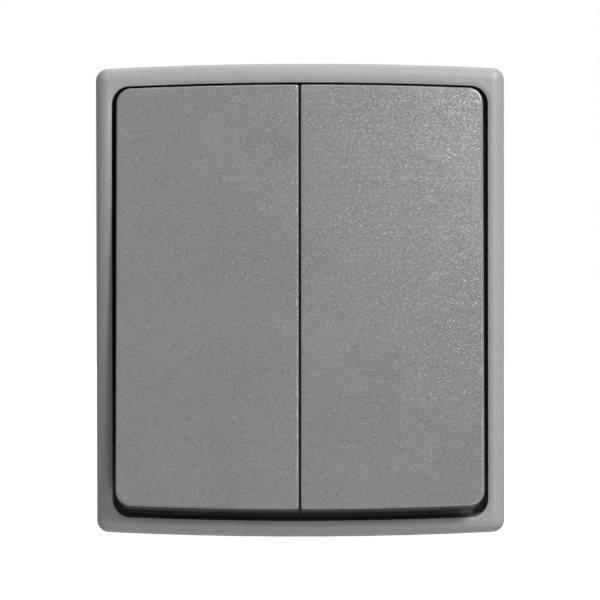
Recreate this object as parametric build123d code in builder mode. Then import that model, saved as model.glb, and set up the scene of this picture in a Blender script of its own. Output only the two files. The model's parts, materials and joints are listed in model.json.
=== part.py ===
from build123d import *
from math import cos, radians, sin, sqrt, tan
import os

# Two-gang rocker wall switch in a splash-proof surface box, in millimetres.
# The origin is the centre of the back face, which rests on the wall. +Z is up, +X is
# right, and the front faces -Y, so a "depth" is a distance out from the wall, along -Y.
# Both rockers rest with their top pressed in.

# Housing: straight sides, top and bottom edges bowed outwards
housing_width = 66.6
housing_height = 77.2
bow_radius = 640.0
housing_corner = 2.3
hood_taper = 1.0
front_round = 2.05

# Depths of the housing
back_relief = 0.7
box_floor = 2.0
box_depth = 22.0
box_round = 0.6
joint_gap = 0.4
lip_depth = 1.6
lip_thickness = 1.0
deck_back = 31.5
deck_front = 33.5
hood_front = 42.0

# Space inside box and hood
cavity_width = 60.8
cavity_height = 69.8
cavity_corner = 2.0
deck_hole_width = 48.6
deck_hole_height = 26.0
deck_hole_corner = 2.0
pillar_radius = 3.0
boss_radius = 3.5

# Front opening, and the rockers in it
opening_width = 60.7
opening_height = 70.8
opening_drop = 0.2
opening_corner = 2.9
rim_round = 1.6
rim_cut = 0.9
rocker_left = 0.15
rocker_right = 29.5
rocker_half_height = 34.13
rocker_drop = 0.08
rocker_outer_corner = 2.4
rocker_inner_corner = 0.4
rocker_edge_round = 0.35
rocker_side_draft = 1.0
rocker_end_draft = 5.5
rocker_wall = 1.6

# Rocker motion: the heights below are measured out from the pivot, across the face
pivot_depth = 33.7
half_tilt = 4.5
face_height = 11.3
face_back = 9.5
skirt_base = 5.3

# Cradle that carries each rocker
gang_x = 11.4
barrel_radius = 3.0
barrel_half_length = 9.6
trunnion_radius = 1.5
trunnion_hole = 1.55
stem_width = 12.0
stem_height = 10.0
plate_base = 5.6
plate_top = 8.2
plate_half_width = 8.0
plate_half_height = 11.0
tube_radius = 3.5
tube_bore = 2.2
tube_end = 14.0
spring_seat = 4.0

# Plunger and spring in the cradle's tube, reaching back from the pivot
spring_end = 11.0
spring_radius = 1.75
wire_radius = 0.25
spring_coils = 6
plunger_radius = 2.13
plunger_head_end = 16.0
plunger_tip_radius = 1.5
plunger_reach = 20.22

# Contact blade: a shallow V that rocks about its own pivot
blade_pivot_depth = 13.5
blade_angle = 7.8
blade_inner = 0.1
blade_outer = 0.9
blade_arm = 12.0
blade_width = 6.0
contact_z = 10.5
contact_radius = 1.6
contact_thickness = 1.0

# Mechanism block
block_width = 47.0
block_height = 46.0
block_back = 4.0
block_front = 24.0
cover_front = 26.5
chamber_floor = 9.6
chamber_width = 11.0
chamber_height = 29.0
notch_x = 16.6
notch_z = 15.7
blade_stop = 12.55
bay_margin = 0.6
bay_extra_depth = 2.0
wire_hole_width = 4.6
wire_hole_height = 3.7
outer_ear_x = 22.3
outer_ear_thickness = 2.4
middle_ear_thickness = 3.2
ear_width = 7.0
ear_front = 36.7
ear_round = 2.4
ear_slot = 2.4

# Conductors and terminals
bar_thickness = 0.8
common_bar_back = 11.7
output_bar_back = 9.6
bar_width = 5.0
terminal_z = 18.6
cage_width = 7.0
cage_height = 6.0
cage_length = 9.5
cage_back = 1.9
cage_wall = 0.9
cage_floor = 1.2
cage_opening = 5.3
terminal_screw_radius = 1.75
terminal_head_radius = 2.5

# Fixings
block_screw_x = 20.0
block_screw_z = 19.0
block_ledge = 14.0
hood_screw_x = 25.5
hood_screw_z = 28.0
screw_radius = 1.5
thread_hole = 1.55
pass_hole = 1.7
screw_slot = 0.8
wall_slot_z = 30.0
wall_slot_width = 4.4
wall_slot_length = 7.0
wall_pad_radius = 6.5

# Cable entries, top and bottom
entry_depth = 12.0
entry_radius = 5.0
grommet_radius = 6.5
grommet_flange = 8.2

# Rubber membrane between the deck and the rockers
seal_flange = 2.6
seal_skin = 0.8
seal_wall = 0.6
seal_plug = 1.4
seal_top = 37.5

sides = {"left": -1, "right": 1}

os.makedirs("parts", exist_ok=True)


def save(builder, name):
    """Label a finished piece and write its STEP file."""
    builder.part.label = name
    export_step(builder.part, f"parts/{name}.step")


def at_depth(depth):
    """Plane parallel to the wall: local x is +X, local y is +Z, and it faces the front."""
    return Plane.XZ.offset(depth)


def tilted(height, x=0.0):
    """Plane parallel to a rocker's face, this far in front of the pivot axis."""
    normal = (0, -cos(radians(half_tilt)), sin(radians(half_tilt)))
    return Plane(origin=(x, -pivot_depth, 0), x_dir=(1, 0, 0), z_dir=normal).offset(height)


def block(x, z, size_x, size_z, low, high, mode=Mode.ADD):
    """Box centred on x and z, between two depths."""
    with Locations((x, -(low + high) / 2, z)):
        Box(size_x, high - low, size_z, mode=mode)


def post(x, z, radius, low, high, mode=Mode.ADD):
    """Cylinder that stands out from the wall, between two depths."""
    with Locations(Location((x, -low, z), (90, 0, 0))):
        Cylinder(radius, high - low, align=(Align.CENTER, Align.CENTER, Align.MIN), mode=mode)


def slotted_screw(x, z, shank_radius, head_radius, tip, head_base, head_top):
    """Cheese-head screw with its axis out from the wall and a straight slot in its head."""
    slot_floor = head_top - 1.0
    post(x, z, shank_radius, tip, head_base)
    post(x, z, head_radius, head_base, head_top)
    block(x, z, 3 * head_radius, screw_slot, slot_floor, head_top + 1, mode=Mode.SUBTRACT)


def bowed_outline(left, right, half_height, left_corner=0.0, right_corner=0.0):
    """Outline with upright sides and ends that bow outwards; half_height is at x = 0."""

    def end_at(x):
        return half_height - bow_radius + sqrt(bow_radius**2 - x**2)

    middle = (left + right) / 2
    with BuildSketch() as outline:
        with BuildLine():
            for end in (1, -1):
                ThreePointArc(
                    (left, end * end_at(left)),
                    (middle, end * end_at(middle)),
                    (right, end * end_at(right)),
                )
            Line((left, -end_at(left)), (left, end_at(left)))
            Line((right, -end_at(right)), (right, end_at(right)))
        make_face()
        if left_corner:
            fillet(outline.vertices().group_by(Axis.X)[0], left_corner)
        if right_corner:
            fillet(outline.vertices().group_by(Axis.X)[-1], right_corner)
    return outline.sketch


def housing_outline(inset=0.0):
    """Outline of box and hood, moved inwards by the inset."""
    half = housing_width / 2 - inset
    corner = housing_corner - inset
    return bowed_outline(-half, half, housing_height / 2 - inset, corner, corner)


def opening_outline(inset=0.0):
    """Outline of the hood's front opening, moved inwards by the inset."""
    half = opening_width / 2 - inset
    corner = opening_corner - inset
    return bowed_outline(-half, half, opening_height / 2 - inset, corner, corner)


# --- Base box: screwed to the wall, carries everything else ---

with BuildPart() as base_box:
    with BuildSketch(at_depth(0)):
        add(housing_outline())
    extrude(amount=box_depth)
    with BuildSketch(at_depth(box_floor)):
        RectangleRounded(cavity_width, cavity_height, cavity_corner)
    extrude(amount=box_depth, mode=Mode.SUBTRACT)
    fillet(base_box.faces().sort_by(Axis.Y)[-1].outer_wire().edges(), box_round)
    # Shallow relief in the back, which leaves a rim, a cross and pads round the wall screws
    with BuildSketch(at_depth(0)):
        RectangleRounded(cavity_width, cavity_height, cavity_corner)
        Rectangle(4.0, cavity_height, mode=Mode.SUBTRACT)
        Rectangle(cavity_width, 4.0, mode=Mode.SUBTRACT)
        with Locations((0, wall_slot_z), (0, -wall_slot_z)):
            Circle(wall_pad_radius, mode=Mode.SUBTRACT)
    extrude(amount=back_relief, mode=Mode.SUBTRACT)
    # Groove for the gasket in the front edge
    with BuildSketch(at_depth(box_depth)):
        add(housing_outline(0.75))
        add(housing_outline(1.75), mode=Mode.SUBTRACT)
    extrude(amount=-1.0, mode=Mode.SUBTRACT)
    # Pillars under the mechanism block and for the hood screws
    for x in (-block_screw_x, block_screw_x):
        for z in (-block_screw_z, block_screw_z):
            post(x, z, pillar_radius, box_floor, block_ledge)
    for side in (1, -1):
        post(-side * block_screw_x, side * block_screw_z, thread_hole, 3.0, block_ledge + 1,
             mode=Mode.SUBTRACT)
        post(-side * hood_screw_x, side * hood_screw_z, boss_radius, box_floor, box_depth)
        post(-side * hood_screw_x, side * hood_screw_z, thread_hole, 6.0, box_depth + 1,
             mode=Mode.SUBTRACT)
    # Slots for the wall screws
    with BuildSketch(at_depth(0)):
        with Locations((0, wall_slot_z), (0, -wall_slot_z)):
            SlotOverall(wall_slot_length, wall_slot_width, rotation=90)
    extrude(amount=box_floor, mode=Mode.SUBTRACT)
    # Cable entries
    with Locations((0, -entry_depth, 0)):
        Cylinder(grommet_radius, 2 * housing_height, mode=Mode.SUBTRACT)
save(base_box, "base_box")


# --- Hood: the front housing, with a rounded rim around the rockers ---

with BuildPart() as hood:
    with BuildSketch(at_depth(box_depth + joint_gap)):
        add(housing_outline())
    extrude(amount=hood_front - box_depth - joint_gap, taper=hood_taper)
    fillet(hood.faces().sort_by(Axis.Y)[0].edges(), front_round)
    # Room behind the deck
    with BuildSketch(at_depth(box_depth + joint_gap)):
        RectangleRounded(cavity_width, cavity_height, cavity_corner)
    extrude(amount=deck_back - box_depth - joint_gap, mode=Mode.SUBTRACT)
    # Front opening, a little below the middle because the rockers' faces lean. Its edge is
    # rounded on a smaller opening first, so that the full one leaves a crisp edge.
    with BuildSketch(at_depth(deck_front)):
        with Locations((0, -opening_drop)):
            add(opening_outline(rim_cut))
    extrude(amount=hood_front, mode=Mode.SUBTRACT)
    fillet(hood.faces().sort_by(Axis.Y)[0].inner_wires()[0].edges(), rim_round)
    with BuildSketch(at_depth(deck_front)):
        with Locations((0, -opening_drop)):
            add(opening_outline())
    extrude(amount=hood_front, mode=Mode.SUBTRACT)
    # Hole in the deck for the mechanism
    with BuildSketch(at_depth(deck_back)):
        RectangleRounded(deck_hole_width, deck_hole_height, deck_hole_corner)
    extrude(amount=deck_front - deck_back, mode=Mode.SUBTRACT)
    # Lip that centres the hood in the box, and its root on the hood's walls
    lip_inset = 2 * (lip_thickness + 0.2)
    for start, outside in ((box_depth - lip_depth, -0.4), (box_depth + joint_gap, 0.6)):
        with BuildSketch(at_depth(start)):
            RectangleRounded(cavity_width + outside, cavity_height + outside, cavity_corner)
            RectangleRounded(cavity_width - lip_inset, cavity_height - lip_inset,
                             cavity_corner - 0.8, mode=Mode.SUBTRACT)
        extrude(amount=lip_depth + joint_gap)
    # Screw bosses
    for side in (1, -1):
        post(-side * hood_screw_x, side * hood_screw_z, boss_radius, box_depth + 0.2, deck_back)
        post(-side * hood_screw_x, side * hood_screw_z, pass_hole, box_depth, deck_front + 1,
             mode=Mode.SUBTRACT)
save(hood, "hood")

with BuildPart() as hood_gasket:
    with BuildSketch(at_depth(box_depth - 1.0)):
        add(housing_outline(0.8))
        add(housing_outline(1.7), mode=Mode.SUBTRACT)
    extrude(amount=1.0 + joint_gap)
save(hood_gasket, "hood_gasket")

washer_thickness = 0.7
with BuildPart() as hood_screw_washers:
    for side in (1, -1):
        post(-side * hood_screw_x, side * hood_screw_z, 3.3, deck_front,
             deck_front + washer_thickness)
        post(-side * hood_screw_x, side * hood_screw_z, 1.6, deck_front - 1, deck_front + 2,
             mode=Mode.SUBTRACT)
save(hood_screw_washers, "hood_screw_washers")

with BuildPart() as hood_screws:
    for side in (1, -1):
        head_base = deck_front + washer_thickness
        slotted_screw(-side * hood_screw_x, side * hood_screw_z, screw_radius, 3.0, 7.0,
                      head_base, head_base + 2.0)
save(hood_screws, "hood_screws")


# --- Rubber parts: membrane under the rockers, and the cable grommets ---



def round_deck_hole(margin):
    """The deck's hole in outline, made larger by this much on every side."""
    with BuildSketch() as outline:
        RectangleRounded(deck_hole_width + 2 * margin, deck_hole_height + 2 * margin,
                         deck_hole_corner + margin / 2)
    return outline.sketch


with BuildPart() as rocker_seal:
    with BuildSketch(at_depth(deck_front)):
        add(round_deck_hole(seal_flange))
    extrude(amount=seal_skin)
    with BuildSketch(at_depth(deck_front)):
        add(round_deck_hole(0.5))
    extrude(amount=seal_top - deck_front, taper=4)
    with BuildSketch(at_depth(deck_front)):
        add(round_deck_hole(-0.1))
    extrude(amount=-seal_plug)
    with BuildSketch(at_depth(deck_front - seal_plug)):
        add(round_deck_hole(-0.1 - seal_wall))
    extrude(amount=seal_top - seal_wall - deck_front + seal_plug, taper=1, mode=Mode.SUBTRACT)
    with BuildSketch(at_depth(deck_front)):
        with Locations((gang_x, 0), (-gang_x, 0)):
            RectangleRounded(stem_width + 1.2, stem_height + 1.4, 1.2)
    extrude(amount=seal_top, mode=Mode.SUBTRACT)
save(rocker_seal, "rocker_seal")

for name, end in (("top", 1), ("bottom", -1)):
    wall_inside = cavity_height / 2
    flange_thickness = 1.5
    sleeve_end = housing_height / 2 - 0.4
    with BuildPart() as grommet:
        with BuildSketch(Plane.XZ) as profile:
            with Locations((entry_radius, wall_inside)):
                Rectangle(grommet_radius - 0.05 - entry_radius, sleeve_end - wall_inside,
                          align=(Align.MIN, Align.MIN))
            with Locations((entry_radius, wall_inside)):
                Rectangle(grommet_flange - entry_radius, flange_thickness,
                          align=(Align.MIN, Align.MAX))
            fillet(profile.vertices().group_by(Axis.Y)[0].sort_by(Axis.X)[-1], 0.5)
        revolve(axis=Axis.Z)
        if end < 0:
            mirror(about=Plane.XY, mode=Mode.REPLACE)
    grommet.part.position = (0, -entry_depth, 0)
    save(grommet, f"{name}_cable_grommet")


# --- Mechanism block: thermoset body with one chamber for each gang ---

# Middle of each terminal, and the depth of the back of the bar that it clamps
terminals = {
    "left": (-gang_x, terminal_z, output_bar_back),
    "right": (gang_x, terminal_z, output_bar_back),
    "common": (0, -terminal_z, common_bar_back),
}

with BuildPart() as mechanism_base:
    block(0, 0, block_width, block_height, block_back, block_front)
    fillet(mechanism_base.edges().filter_by(Axis.Y), 1.0)
    # Corner notches, so that the block hangs on its four pillars
    beyond_x = block_width / 2 + 1
    beyond_z = block_height / 2 + 1
    for x in (-1, 1):
        for z in (-1, 1):
            block(x * (notch_x + beyond_x) / 2, z * (notch_z + beyond_z) / 2,
                  beyond_x - notch_x, beyond_z - notch_z, block_back - 1, block_ledge,
                  mode=Mode.SUBTRACT)
    for side in (1, -1):
        post(-side * block_screw_x, side * block_screw_z, pass_hole, block_ledge - 1,
             block_front + 1, mode=Mode.SUBTRACT)
    for x in (-gang_x, gang_x):
        block(x, 0, chamber_width, chamber_height, chamber_floor, block_front + 1,
              mode=Mode.SUBTRACT)
        # Stop under the lower arm of the blade, and seat for the common bar
        block(x, -contact_z, 4.0, 3.0, chamber_floor, blade_stop)
        block(x, 0, chamber_width, 3.0, chamber_floor, common_bar_back)
        # Way in for the output bar
        block(x, terminal_z, bar_width + 0.2, 9.0, output_bar_back, block_ledge + 0.2,
              mode=Mode.SUBTRACT)
    # Channel for the common bar
    block(0, 0, 2 * gang_x, bar_width + 0.2, common_bar_back, block_front + 1,
          mode=Mode.SUBTRACT)
    block(0, -8.5, bar_width + 0.2, 17.0, common_bar_back, block_front + 1,
          mode=Mode.SUBTRACT)
    # Terminal bays, and the holes in the block's ends that lead the wires to them
    for x, z, bar_back in terminals.values():
        block(x, z, cage_width + bay_margin, cage_height + bay_margin,
              bar_back - bay_extra_depth, block_front + 1, mode=Mode.SUBTRACT)
        wire_z = z + 3 if z > 0 else z - 3
        wire_back = bar_back + 0.9
        block(x, wire_z, wire_hole_width, 6.0, wire_back, wire_back + wire_hole_height,
              mode=Mode.SUBTRACT)
save(mechanism_base, "mechanism_base")

with BuildPart() as mechanism_cover:
    block(0, 0, block_width, block_height, block_front, cover_front)
    fillet(mechanism_cover.edges().filter_by(Axis.Y), 1.0)
    # Bearing ears, open at the front so that the trunnions snap in
    for x, thickness in ((-outer_ear_x, outer_ear_thickness), (0, middle_ear_thickness),
                         (outer_ear_x, outer_ear_thickness)):
        block(x, 0, thickness, ear_width, cover_front, ear_front)
    fillet(mechanism_cover.edges().filter_by(Axis.X).group_by(Axis.Y)[0], ear_round)
    with Locations(Location((0, -pivot_depth, 0), (0, 90, 0))):
        Cylinder(trunnion_hole, block_width + 1, mode=Mode.SUBTRACT)
    block(0, 0, block_width + 1, ear_slot, pivot_depth, ear_front + 1, mode=Mode.SUBTRACT)
    # Windows for the cradle tubes, the terminal screws and the fixing screws
    for x in (-gang_x, gang_x):
        block(x, 0, 2 * tube_radius + 1.6, 2 * tube_radius + 2.0, block_front - 1,
              cover_front + 1, mode=Mode.SUBTRACT)
    for x, z, bar_back in terminals.values():
        post(x, z, terminal_head_radius + 0.4, block_front - 1, cover_front + 1,
             mode=Mode.SUBTRACT)
    for side in (1, -1):
        post(-side * block_screw_x, side * block_screw_z, pass_hole, block_front - 1,
             cover_front + 1, mode=Mode.SUBTRACT)
save(mechanism_cover, "mechanism_cover")

with BuildPart() as mechanism_screws:
    for side in (1, -1):
        slotted_screw(-side * block_screw_x, side * block_screw_z, screw_radius, 2.6, 4.0,
                      cover_front, cover_front + 1.8)
save(mechanism_screws, "mechanism_screws")


# --- Conductors ---

bearing_gap = 0.05
with BuildPart() as common_bar:
    common_top = common_bar_back + bar_thickness
    cheek_x = blade_width / 2 + 0.55
    block(0, 0, 2 * gang_x + 8.0, bar_width, common_bar_back, common_top)
    block(0, -(terminal_z + 2.8) / 2, bar_width, terminal_z + 2.8, common_bar_back, common_top)
    # Cheeks with open notches that hold the pins of the blades
    for x in (-gang_x - cheek_x, -gang_x + cheek_x, gang_x - cheek_x, gang_x + cheek_x):
        block(x, 0, bar_thickness, bar_width, common_bar_back, blade_pivot_depth + 1.0)
    with Locations(Location((0, -blade_pivot_depth, 0), (0, 90, 0))):
        Cylinder(blade_outer + bearing_gap, block_width, mode=Mode.SUBTRACT)
    block(0, 0, block_width, 2 * (blade_outer + bearing_gap), blade_pivot_depth,
          blade_pivot_depth + 3.0, mode=Mode.SUBTRACT)
save(common_bar, "common_bar")

for name, side in sides.items():
    with BuildPart() as output_bar:
        output_top = output_bar_back + bar_thickness
        block(side * gang_x, 14.2, bar_width, 13.4, output_bar_back, output_top)
        post(side * gang_x, contact_z, 0.9, output_bar_back, output_top, mode=Mode.SUBTRACT)
    save(output_bar, f"{name}_output_bar")

    with BuildPart() as fixed_contact:
        post(side * gang_x, contact_z, 0.9, output_bar_back, output_top)
        post(side * gang_x, contact_z, contact_radius, output_top,
             blade_pivot_depth - blade_outer - contact_thickness - bearing_gap)
    save(fixed_contact, f"{name}_fixed_contact")


def terminal_cage(x, z, bar_back):
    """Rectangular clamp around the end of a bar, with a threaded hole for its screw."""
    back = bar_back - cage_back
    inside = back + cage_floor
    block(x, z, cage_width, cage_height, back, back + cage_length)
    block(x, z, cage_width - 2 * cage_wall, cage_height + 1, inside, inside + cage_opening,
          mode=Mode.SUBTRACT)
    post(x, z, terminal_screw_radius + bearing_gap, inside + 1, back + cage_length + 1,
         mode=Mode.SUBTRACT)


for name, place in terminals.items():
    with BuildPart() as cage:
        terminal_cage(*place)
    save(cage, f"{name}_terminal_cage")

with BuildPart() as terminal_screws:
    for x, z, bar_back in terminals.values():
        slotted_screw(x, z, terminal_screw_radius, terminal_head_radius, bar_back + 3.4,
                      bar_back + 9.4, bar_back + 11.4)
save(terminal_screws, "terminal_screws")


# --- Contact blades: see-saws, at rest tilted the other way from the rockers ---

blade_tilt = radians(blade_angle)


def on_arm(along, out):
    """Point on a blade's upper arm: along it from the pivot, and out towards the wall."""
    return (
        out * cos(blade_tilt) - along * sin(blade_tilt),
        out * sin(blade_tilt) + along * cos(blade_tilt),
    )


for name, side in sides.items():
    pivot = (side * gang_x, -blade_pivot_depth, 0)
    # Blade seen from its side: local x points to the wall, local y up along the blade
    profile_plane = Plane(pivot, x_dir=(0, cos(blade_tilt), sin(blade_tilt)), z_dir=(1, 0, 0))
    # Upper arm seen from the front, with local y up along the arm
    arm_normal = (0, -cos(2 * blade_tilt), -sin(2 * blade_tilt))
    arm_plane = Plane(pivot, x_dir=(1, 0, 0), z_dir=arm_normal)

    with BuildPart() as contact_blade:
        with BuildSketch(profile_plane):
            with BuildLine():
                Polyline(
                    (blade_outer, 0),
                    (blade_inner / cos(blade_tilt), 0),
                    on_arm(blade_arm, blade_inner),
                    on_arm(blade_arm, blade_outer),
                    on_arm(0, blade_outer),
                )
                middle = blade_tilt / 2
                ThreePointArc(
                    on_arm(0, blade_outer),
                    (blade_outer * cos(middle), blade_outer * sin(middle)),
                    (blade_outer, 0),
                )
            make_face()
            mirror(about=Plane.XZ)
        extrude(amount=blade_width / 2, both=True)
        # Pins that rest in the common bar's notches
        for end in (-1, 1):
            with BuildSketch(profile_plane.offset(end * (blade_width / 2 - 0.2))):
                Circle(blade_outer)
            extrude(amount=end * (bar_thickness + 0.35))
        with BuildSketch(arm_plane.offset(-blade_outer)):
            with Locations((0, contact_z)):
                Circle(0.82)
        extrude(amount=blade_outer, mode=Mode.SUBTRACT)
    save(contact_blade, f"{name}_contact_blade")

    with BuildPart() as moving_contact:
        for low, high, radius in (
            (-blade_outer - contact_thickness, -blade_outer, contact_radius),
            (-blade_outer, -blade_inner, 0.8),
            (-blade_inner, -blade_inner + 0.35, 1.1),
        ):
            with BuildSketch(arm_plane.offset(low)):
                with Locations((0, contact_z)):
                    Circle(radius)
            extrude(amount=high - low)
    save(moving_contact, f"{name}_moving_contact")


# --- Rockers and the cradles that carry them ---

skirt = face_height - skirt_base
side_grow = skirt * tan(radians(rocker_side_draft))
end_grow = skirt * tan(radians(rocker_end_draft))
leg_thickness = 1.6
leg_gap = 0.2
hook = 0.7
hook_base = 4.6
rib_thickness = 1.2

for name, side in sides.items():
    x = side * gang_x
    edges = sorted((side * rocker_left, side * rocker_right))

    with BuildPart() as cradle:
        # Barrel on the pivot axis, with a trunnion at each end
        with BuildSketch(Plane.YZ.offset(x)):
            with Locations((-pivot_depth, 0)):
                Circle(barrel_radius)
        extrude(amount=barrel_half_length, both=True)
        with BuildSketch(Plane.YZ.offset(side * rocker_left)):
            with Locations((-pivot_depth, 0)):
                Circle(trunnion_radius)
        extrude(amount=side * (outer_ear_x + 0.6 - rocker_left))
        # Stem and head plate
        with BuildSketch(tilted(0, x)):
            RectangleRounded(stem_width, stem_height, 1.0)
        extrude(amount=plate_base)
        with BuildSketch(tilted(plate_base, x)):
            RectangleRounded(2 * plate_half_width, 2 * plate_half_height, 1.0)
        extrude(amount=plate_top - plate_base)
        # Tube that guides the plunger
        with BuildSketch(tilted(0, x)):
            Circle(tube_radius)
        extrude(amount=-tube_end)
        with BuildSketch(tilted(-spring_seat, x)):
            Circle(tube_bore)
        extrude(amount=-tube_end, mode=Mode.SUBTRACT)
    save(cradle, f"{name}_cradle")

    with BuildPart() as spring:
        end_gap = wire_radius + 0.05
        length = spring_end - spring_seat - 2 * end_gap
        foot = tilted(-spring_end + end_gap, x)
        with BuildLine() as path:
            Helix(length / spring_coils, length, spring_radius, foot.origin, foot.z_dir)
        with BuildSketch(Plane(origin=path.line @ 0, z_dir=path.line % 0)):
            Circle(wire_radius)
        sweep(is_frenet=True)
    save(spring, f"{name}_spring")

    with BuildPart() as plunger:
        tip_centre = plunger_reach - plunger_tip_radius
        with BuildSketch(tilted(-spring_end, x)):
            Circle(plunger_radius)
        extrude(amount=spring_end - plunger_head_end)
        with BuildSketch(tilted(-plunger_head_end, x)):
            Circle(plunger_tip_radius)
        extrude(amount=plunger_head_end - tip_centre)
        with Locations(tilted(-tip_centre, x)):
            Sphere(plunger_tip_radius)
    save(plunger, f"{name}_plunger")

    with BuildPart() as rocker:
        # Drafted body: the open back is a little larger than the face
        corners = [rocker_inner_corner, rocker_outer_corner][::side]
        for height, side_more, end_more in ((skirt_base, side_grow, end_grow),
                                            (face_height, 0, 0)):
            with BuildSketch(tilted(height)):
                with Locations((0, -rocker_drop)):
                    add(bowed_outline(edges[0] - side_more, edges[1] + side_more,
                                      rocker_half_height + end_more, *corners))
        loft(ruled=True)
        fillet(rocker.faces().sort_by(Axis.Y)[0].edges(), rocker_edge_round)
        # Hollow back
        with BuildSketch(tilted(skirt_base)):
            with Locations((0, -rocker_drop)):
                add(bowed_outline(edges[0] + rocker_wall, edges[1] - rocker_wall,
                                  rocker_half_height + end_grow - rocker_wall, 0.8, 0.8))
        extrude(amount=face_back - skirt_base, mode=Mode.SUBTRACT)
        # Ribs, which stand on the head plate
        with BuildSketch(tilted(face_back + 0.2)):
            with Locations((x - 5, 0), (x + 5, 0), (x + 12 * side, 0)):
                Rectangle(rib_thickness, 2 * rocker_half_height - 1.0)
            middle = (edges[0] + edges[1]) / 2
            with Locations(*[(middle, z) for z in (-25, -16, 16, 25)]):
                Rectangle(edges[1] - edges[0] - rocker_wall, rib_thickness)
        extrude(amount=plate_top - face_back - 0.2)
        # Snap legs, hooked under the sides of the head plate
        for end in (-1, 1):
            inside = x + end * (plate_half_width + leg_gap)
            leg = inside + end * leg_thickness / 2
            with BuildSketch(tilted(face_back + 0.2)):
                with Locations((leg, 4), (leg, -4)):
                    Rectangle(leg_thickness, 4)
            extrude(amount=hook_base - face_back - 0.2)
            with BuildSketch(tilted(hook_base)):
                with Locations((leg - end * hook / 2, 4), (leg - end * hook / 2, -4)):
                    Rectangle(leg_thickness + hook, 4)
            extrude(amount=plate_base - 0.1 - hook_base)
    save(rocker, f"{name}_rocker")
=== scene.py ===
import json
from math import cos, radians, sin

import bpy
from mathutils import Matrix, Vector

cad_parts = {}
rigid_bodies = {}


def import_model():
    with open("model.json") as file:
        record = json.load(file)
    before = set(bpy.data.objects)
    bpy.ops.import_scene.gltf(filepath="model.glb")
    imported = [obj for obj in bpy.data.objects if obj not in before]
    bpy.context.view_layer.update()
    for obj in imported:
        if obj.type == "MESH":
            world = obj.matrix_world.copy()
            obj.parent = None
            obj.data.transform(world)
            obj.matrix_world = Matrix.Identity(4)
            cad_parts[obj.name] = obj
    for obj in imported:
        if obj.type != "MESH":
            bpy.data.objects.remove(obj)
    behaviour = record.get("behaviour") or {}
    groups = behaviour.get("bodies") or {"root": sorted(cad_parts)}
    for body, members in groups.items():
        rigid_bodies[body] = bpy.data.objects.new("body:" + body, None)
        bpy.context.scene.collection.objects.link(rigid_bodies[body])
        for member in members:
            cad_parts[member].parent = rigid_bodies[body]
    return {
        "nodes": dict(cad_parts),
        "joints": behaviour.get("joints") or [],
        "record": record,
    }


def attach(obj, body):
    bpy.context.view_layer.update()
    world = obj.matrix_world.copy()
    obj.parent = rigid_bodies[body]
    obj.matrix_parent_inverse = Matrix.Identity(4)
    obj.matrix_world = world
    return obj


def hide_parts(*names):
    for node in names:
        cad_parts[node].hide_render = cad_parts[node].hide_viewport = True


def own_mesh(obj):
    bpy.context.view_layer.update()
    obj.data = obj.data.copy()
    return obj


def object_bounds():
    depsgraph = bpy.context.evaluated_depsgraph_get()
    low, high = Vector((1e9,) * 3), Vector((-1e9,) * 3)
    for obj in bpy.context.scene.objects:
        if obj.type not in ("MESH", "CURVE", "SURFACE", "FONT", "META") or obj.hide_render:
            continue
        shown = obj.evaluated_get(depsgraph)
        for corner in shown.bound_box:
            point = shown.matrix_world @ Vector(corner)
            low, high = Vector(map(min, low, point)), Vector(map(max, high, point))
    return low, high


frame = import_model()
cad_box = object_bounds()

# Two-gang rocker wall switch, in metres, in the frame of the CAD model: the wall is the
# plane y = 0, the front faces -Y, and +Z is up.

MM = 0.001
nodes = frame["nodes"]

# Most values of a noise texture lie between these.
NOISE_LOW, NOISE_HIGH = 0.3, 0.7

# Streaks of drawn metal run along Z, ten times as long as they are wide.
ALONG_Z = (1.0, 1.0, 0.1)

# Degrees between a facet's own normal and its smooth one. A round edge stays under the
# first; a sliver triangle can pass the second.
BENT_A_LITTLE = 9
BENT_TOO_FAR = 13


# --- Shader helpers ---

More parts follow.
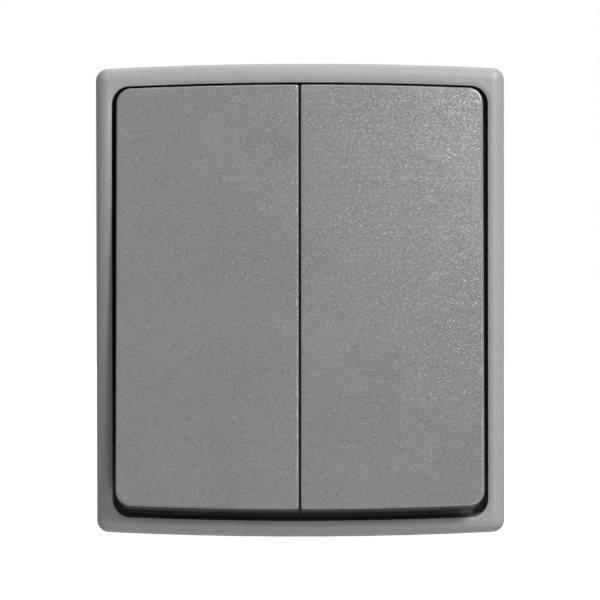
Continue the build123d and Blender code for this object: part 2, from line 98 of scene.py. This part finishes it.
class Shader:
    """A node material with one Principled shader, built up call by call."""

    def __init__(self, name):
        self.material = bpy.data.materials.new(name)
        self.material.use_nodes = True
        self.tree = self.material.node_tree
        self.tree.nodes.clear()
        self.principled = self.add("ShaderNodeBsdfPrincipled")
        output = self.add("ShaderNodeOutputMaterial")
        self.link(self.principled.outputs["BSDF"], output.inputs["Surface"])
        self.place = self.add("ShaderNodeTexCoord").outputs["Object"]

    def add(self, kind, **settings):
        node = self.tree.nodes.new(kind)
        for key, value in settings.items():
            setattr(node, key, value)
        return node

    def link(self, source, target):
        self.tree.links.new(source, target)

    def set(self, **values):
        """Plain values on the Principled shader's own sockets."""
        for key, value in values.items():
            self.principled.inputs[key.replace("_", " ")].default_value = value

    def joined(self, kind, operation, values):
        """Outputs of a math node fed with numbers, vectors or other nodes' outputs."""
        node = self.add(kind, operation=operation)
        for socket, value in zip(node.inputs, values):
            if isinstance(value, bpy.types.NodeSocket):
                self.link(value, socket)
            else:
                socket.default_value = value
        return node.outputs

    def math(self, operation, *values):
        return self.joined("ShaderNodeMath", operation, values)["Value"]

    def vector(self, operation, *values):
        return self.joined("ShaderNodeVectorMath", operation, values)["Vector"]

    def texture(self, size, detail, roughness, offset):
        """Noise texture with features about this large, in metres.

        The offset moves it, so that two textures of one material don't line up.
        """
        node = self.add("ShaderNodeTexNoise")
        node.inputs["Scale"].default_value = 1.0 / size
        node.inputs["Detail"].default_value = detail
        node.inputs["Roughness"].default_value = roughness
        place = self.vector("ADD", self.place, 3 * (offset,)) if offset else self.place
        self.link(place, node.inputs["Vector"])
        return node.outputs

    def noise(self, size, detail=3.0, roughness=0.5, offset=0.0):
        """One value per point, around 0.5."""
        return self.texture(size, detail, roughness, offset)["Fac"]

    def spread(self, value, low, high, to_low, to_high):
        """Maps low..high of a value to to_low..to_high, and clamps it there."""
        node = self.add("ShaderNodeMapRange")
        self.link(value, node.inputs["Value"])
        for socket, number in zip(list(node.inputs)[1:5], (low, high, to_low, to_high)):
            socket.default_value = number
        return node.outputs["Result"]

    def between(self, noise, low, high):
        """Maps the usual range of a noise to low..high, and clamps it there."""
        return self.spread(noise, NOISE_LOW, NOISE_HIGH, low, high)

    def tinted(self, noise, low, high):
        """Colour from low to high over that range; each is a grey or (r, g, b)."""
        ramp = self.add("ShaderNodeValToRGB")
        stops = zip(ramp.color_ramp.elements, (NOISE_LOW, NOISE_HIGH), (low, high))
        for element, position, colour in stops:
            if isinstance(colour, float):
                colour = 3 * (colour,)
            element.position = position
            element.color = (*colour, 1.0)
        self.link(noise, ramp.inputs["Fac"])
        return ramp.outputs["Color"]

    def bump(self, height, depth):
        """Bump from a 0..1 height that stands for this depth in metres."""
        node = self.add("ShaderNodeBump")
        node.inputs["Distance"].default_value = depth
        self.link(height, node.inputs["Height"])
        return node.outputs["Normal"]

    def steady_normal(self):
        """The smooth normal, but the facet's own where a sliver triangle bends it too far."""
        geometry = self.add("ShaderNodeNewGeometry").outputs
        smooth, own = geometry["Normal"], geometry["True Normal"]
        match = self.joined("ShaderNodeVectorMath", "DOT_PRODUCT", (smooth, own))["Value"]
        trust = self.spread(match, cos(radians(BENT_TOO_FAR)), cos(radians(BENT_A_LITTLE)), 0, 1)
        return self.vector("MULTIPLY_ADD", self.vector("SUBTRACT", smooth, own), trust, own)

    def grain_normal(self, size, lean, offset):
        """The surface normal, leaned this way and that by a grain of about this size."""
        grain = self.texture(size, detail=1.0, roughness=0.5, offset=offset)["Color"]
        centred = self.vector("SUBTRACT", grain, 3 * (0.5,))
        leaned = self.vector("MULTIPLY_ADD", centred, 3 * (lean,), self.steady_normal())
        return self.vector("NORMALIZE", leaned)

    def finish(self, colour=None, roughness=None, normal=None):
        for name, source in (("Base Color", colour), ("Roughness", roughness),
                             ("Normal", normal)):
            if source is not None:
                self.link(source, self.principled.inputs[name])
        return self.material


# --- Materials ---

def grained_plastic(name, base, grain_size, lean, roughness, mottle, gloss=0.5):
    """Grey plastic with an eroded mould grain, which glints where the light is right."""
    shader = Shader(name)
    shader.set(IOR=1.58, Specular_IOR_Level=gloss)
    cloud = shader.noise(8 * MM, detail=3.0, roughness=0.55, offset=1.0)
    specks = shader.noise(0.3 * MM, detail=2.0, offset=5.0)
    speck_share = 0.8
    value = shader.math("ADD", shader.math("MULTIPLY", specks, speck_share),
                        shader.math("MULTIPLY", cloud, 1 - speck_share))
    colour = shader.tinted(value, (1 - mottle) * base, (1 + mottle) * base)
    rough = shader.between(shader.noise(0.8 * MM, offset=3.0), roughness - 0.03, roughness + 0.03)
    return shader.finish(colour, rough, shader.grain_normal(grain_size, lean, offset=7.0))


def rubber(name, base):
    """Matt moulded elastomer with a fine skin texture."""
    shader = Shader(name)
    shader.set(IOR=1.52)
    cloud = shader.noise(4 * MM, detail=5.0)
    colour = shader.tinted(cloud, 0.7 * base, 1.4 * base)
    rough = shader.between(shader.noise(0.8 * MM, offset=2.0), 0.62, 0.8)
    return shader.finish(colour, rough, shader.bump(shader.noise(0.3 * MM), 0.03 * MM))


def moulded(name, colour_low, colour_high, roughness, grain_depth=0.01 * MM):
    """Plain moulded plastic or thermoset, with faint flow clouds and a mould grain."""
    shader = Shader(name)
    shader.set(IOR=1.5)
    cloud = shader.noise(6 * MM, detail=5.0, roughness=0.6)
    colour = shader.tinted(cloud, colour_low, colour_high)
    rough = shader.between(shader.noise(1.5 * MM, offset=4.0), roughness - 0.06, roughness + 0.06)
    return shader.finish(colour, rough, shader.bump(shader.noise(0.4 * MM), grain_depth))


def metal(name, colour_low, colour_high, roughness, stretch=(1.0, 1.0, 1.0)):
    """Stamped or drawn metal: streaks along the stretched direction, and faint stains."""
    shader = Shader(name)
    shader.set(Metallic=1.0)
    mapping = shader.add("ShaderNodeMapping")
    mapping.inputs["Scale"].default_value = stretch
    shader.link(shader.place, mapping.inputs["Vector"])
    stains = shader.noise(3 * MM, detail=5.0)
    shader.place = mapping.outputs["Vector"]
    streaks = shader.noise(0.25 * MM, detail=3.0)
    colour = shader.tinted(stains, colour_low, colour_high)
    rough = shader.between(streaks, roughness - 0.08, roughness + 0.1)
    return shader.finish(colour, rough, shader.bump(streaks, 0.004 * MM))


finishes = {
    "rocker_plastic": grained_plastic(
        "rocker_plastic", base=0.156, grain_size=0.075 * MM, lean=0.8, roughness=0.08,
        mottle=0.2, gloss=0.9),
    "housing_plastic": grained_plastic(
        "housing_plastic", base=0.24, grain_size=0.5 * MM, lean=0.2, roughness=0.45,
        mottle=0.06),
    "black_rubber": rubber("black_rubber", 0.012),
    "grey_rubber": rubber("grey_rubber", 0.05),
    "thermoset": moulded("thermoset", 0.016, 0.03, 0.45),
    "light_plastic": moulded("light_plastic", (0.62, 0.6, 0.54), (0.72, 0.7, 0.64), 0.42),
    "plunger_plastic": moulded("plunger_plastic", (0.5, 0.47, 0.4), (0.6, 0.57, 0.5), 0.35),
    "brass": metal("brass", (0.62, 0.42, 0.16), (0.8, 0.58, 0.26), 0.3, ALONG_Z),
    "copper": metal("copper", (0.66, 0.3, 0.17), (0.85, 0.45, 0.3), 0.28, ALONG_Z),
    "silver_alloy": metal("silver_alloy", (0.7, 0.69, 0.66), (0.86, 0.85, 0.82), 0.25),
    "zinc_steel": metal("zinc_steel", (0.5, 0.51, 0.52), (0.66, 0.67, 0.68), 0.32),
    "spring_steel": metal("spring_steel", (0.3, 0.3, 0.31), (0.45, 0.45, 0.46), 0.3),
}

for part in frame["record"]["subparts"]:
    mesh = nodes[part["node"]].data
    mesh.materials.clear()
    mesh.materials.append(finishes[part["material_slot"]])


# --- Springs ---

def squeezed_spring(side):
    """Stands for a gang's CAD spring, which its plunger squeezes against the tube's seat: an
    unchanged copy of its mesh, fixed to the parent body of the plunger's slide, with the CAD
    spring hidden.
    """
    slide = next(j for j in frame["joints"] if j["name"] == f"{side}_plunger_slide")
    spring = bpy.data.objects.new(f"{side}_coil_spring", nodes[f"{side}_spring"].data.copy())
    bpy.context.scene.collection.objects.link(spring)
    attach(spring, slide["parent"])
    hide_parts(f"{side}_spring")
    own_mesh(spring)


for side in ("left", "right"):
    squeezed_spring(side)


# --- Studio ---

# Aim of camera and lights: the middle of the rim's front, which the rockers stand out from
rim_setback = 6 * MM
aim_height = 0.1 * MM
front_face = Vector((0, cad_box[0][1] + rim_setback, aim_height))


def placed(thing, azimuth, elevation, away):
    """Puts an object this far from the front face and aims it there; azimuth is to the right."""
    turn, rise = radians(azimuth), radians(elevation)
    way = Vector((sin(turn) * cos(rise), -cos(turn) * cos(rise), sin(rise)))
    thing.location = front_face + away * way
    thing.rotation_euler = (-way).to_track_quat("-Z", "Y").to_euler()
    bpy.context.scene.collection.objects.link(thing)


def front_camera(frame_width, azimuth, elevation, away, roll):
    """Camera whose picture is this wide at the front face."""
    camera = bpy.data.objects.new("camera", bpy.data.cameras.new("camera"))
    camera.data.sensor_width = 36.0
    camera.data.lens = camera.data.sensor_width * away / frame_width
    camera.data.clip_start = 0.01
    placed(camera, azimuth, elevation, away)
    camera.rotation_euler.rotate_axis("Z", radians(roll))
    bpy.context.scene.camera = camera


front_camera(frame_width=96.85 * MM, azimuth=0.8, elevation=1.0, away=0.55, roll=-0.1)
bpy.context.scene.view_settings.view_transform = "Standard"


def softbox(name, azimuth, elevation, away, size, power):
    """Square area light aimed at the switch."""
    light = bpy.data.lights.new(name, "AREA")
    light.size = size
    light.energy = power
    placed(bpy.data.objects.new(name, light), azimuth, elevation, away)


softbox("key", azimuth=24, elevation=22.5, away=0.34, size=0.06, power=0.42)
softbox("upper", azimuth=45, elevation=45, away=0.8, size=0.5, power=6.7)
softbox("low_right", azimuth=30, elevation=-40, away=0.5, size=0.3, power=0.68)
softbox("top", azimuth=0, elevation=75, away=0.8, size=0.7, power=0.7)
softbox("top_back", azimuth=180, elevation=65, away=0.8, size=0.6, power=2.26)
softbox("bounce_back", azimuth=180, elevation=-65, away=0.6, size=0.5, power=0.45)
softbox("back", azimuth=180, elevation=8, away=0.8, size=0.6, power=3.0)


def white_surroundings(glow):
    """World that looks white to the camera and lights the switch with this strength."""
    world = bpy.data.worlds.new("studio")
    world.use_nodes = True
    tree = world.node_tree
    tree.nodes.clear()
    mix = tree.nodes.new("ShaderNodeMixShader")
    for strength, socket in ((glow, mix.inputs[1]), (1.0, mix.inputs[2])):
        background = tree.nodes.new("ShaderNodeBackground")
        background.inputs["Color"].default_value = (1.0, 1.0, 1.0, 1.0)
        background.inputs["Strength"].default_value = strength
        tree.links.new(background.outputs["Background"], socket)
    path = tree.nodes.new("ShaderNodeLightPath")
    tree.links.new(path.outputs["Is Camera Ray"], mix.inputs["Fac"])
    output = tree.nodes.new("ShaderNodeOutputWorld")
    tree.links.new(mix.outputs["Shader"], output.inputs["Surface"])
    bpy.context.scene.world = world


white_surroundings(glow=0.42)


def pale_floor():
    """White floor under the switch, which the low lights shine up through."""
    bpy.ops.mesh.primitive_circle_add(
        vertices=128, radius=3.0, fill_type="NGON", location=(0, 0, cad_box[0][2] - 1 * MM))
    floor = bpy.context.object
    floor.name = "floor"
    floor.visible_diffuse = False
    floor.visible_shadow = False
    floor.visible_glossy = False
    shader = Shader("floor")
    shader.set(Roughness=0.9, Emission_Color=(1.0, 1.0, 1.0, 1.0), Emission_Strength=1.0)
    floor.data.materials.append(shader.finish(shader.tinted(shader.noise(0.3), 0.1, 0.12)))


pale_floor()
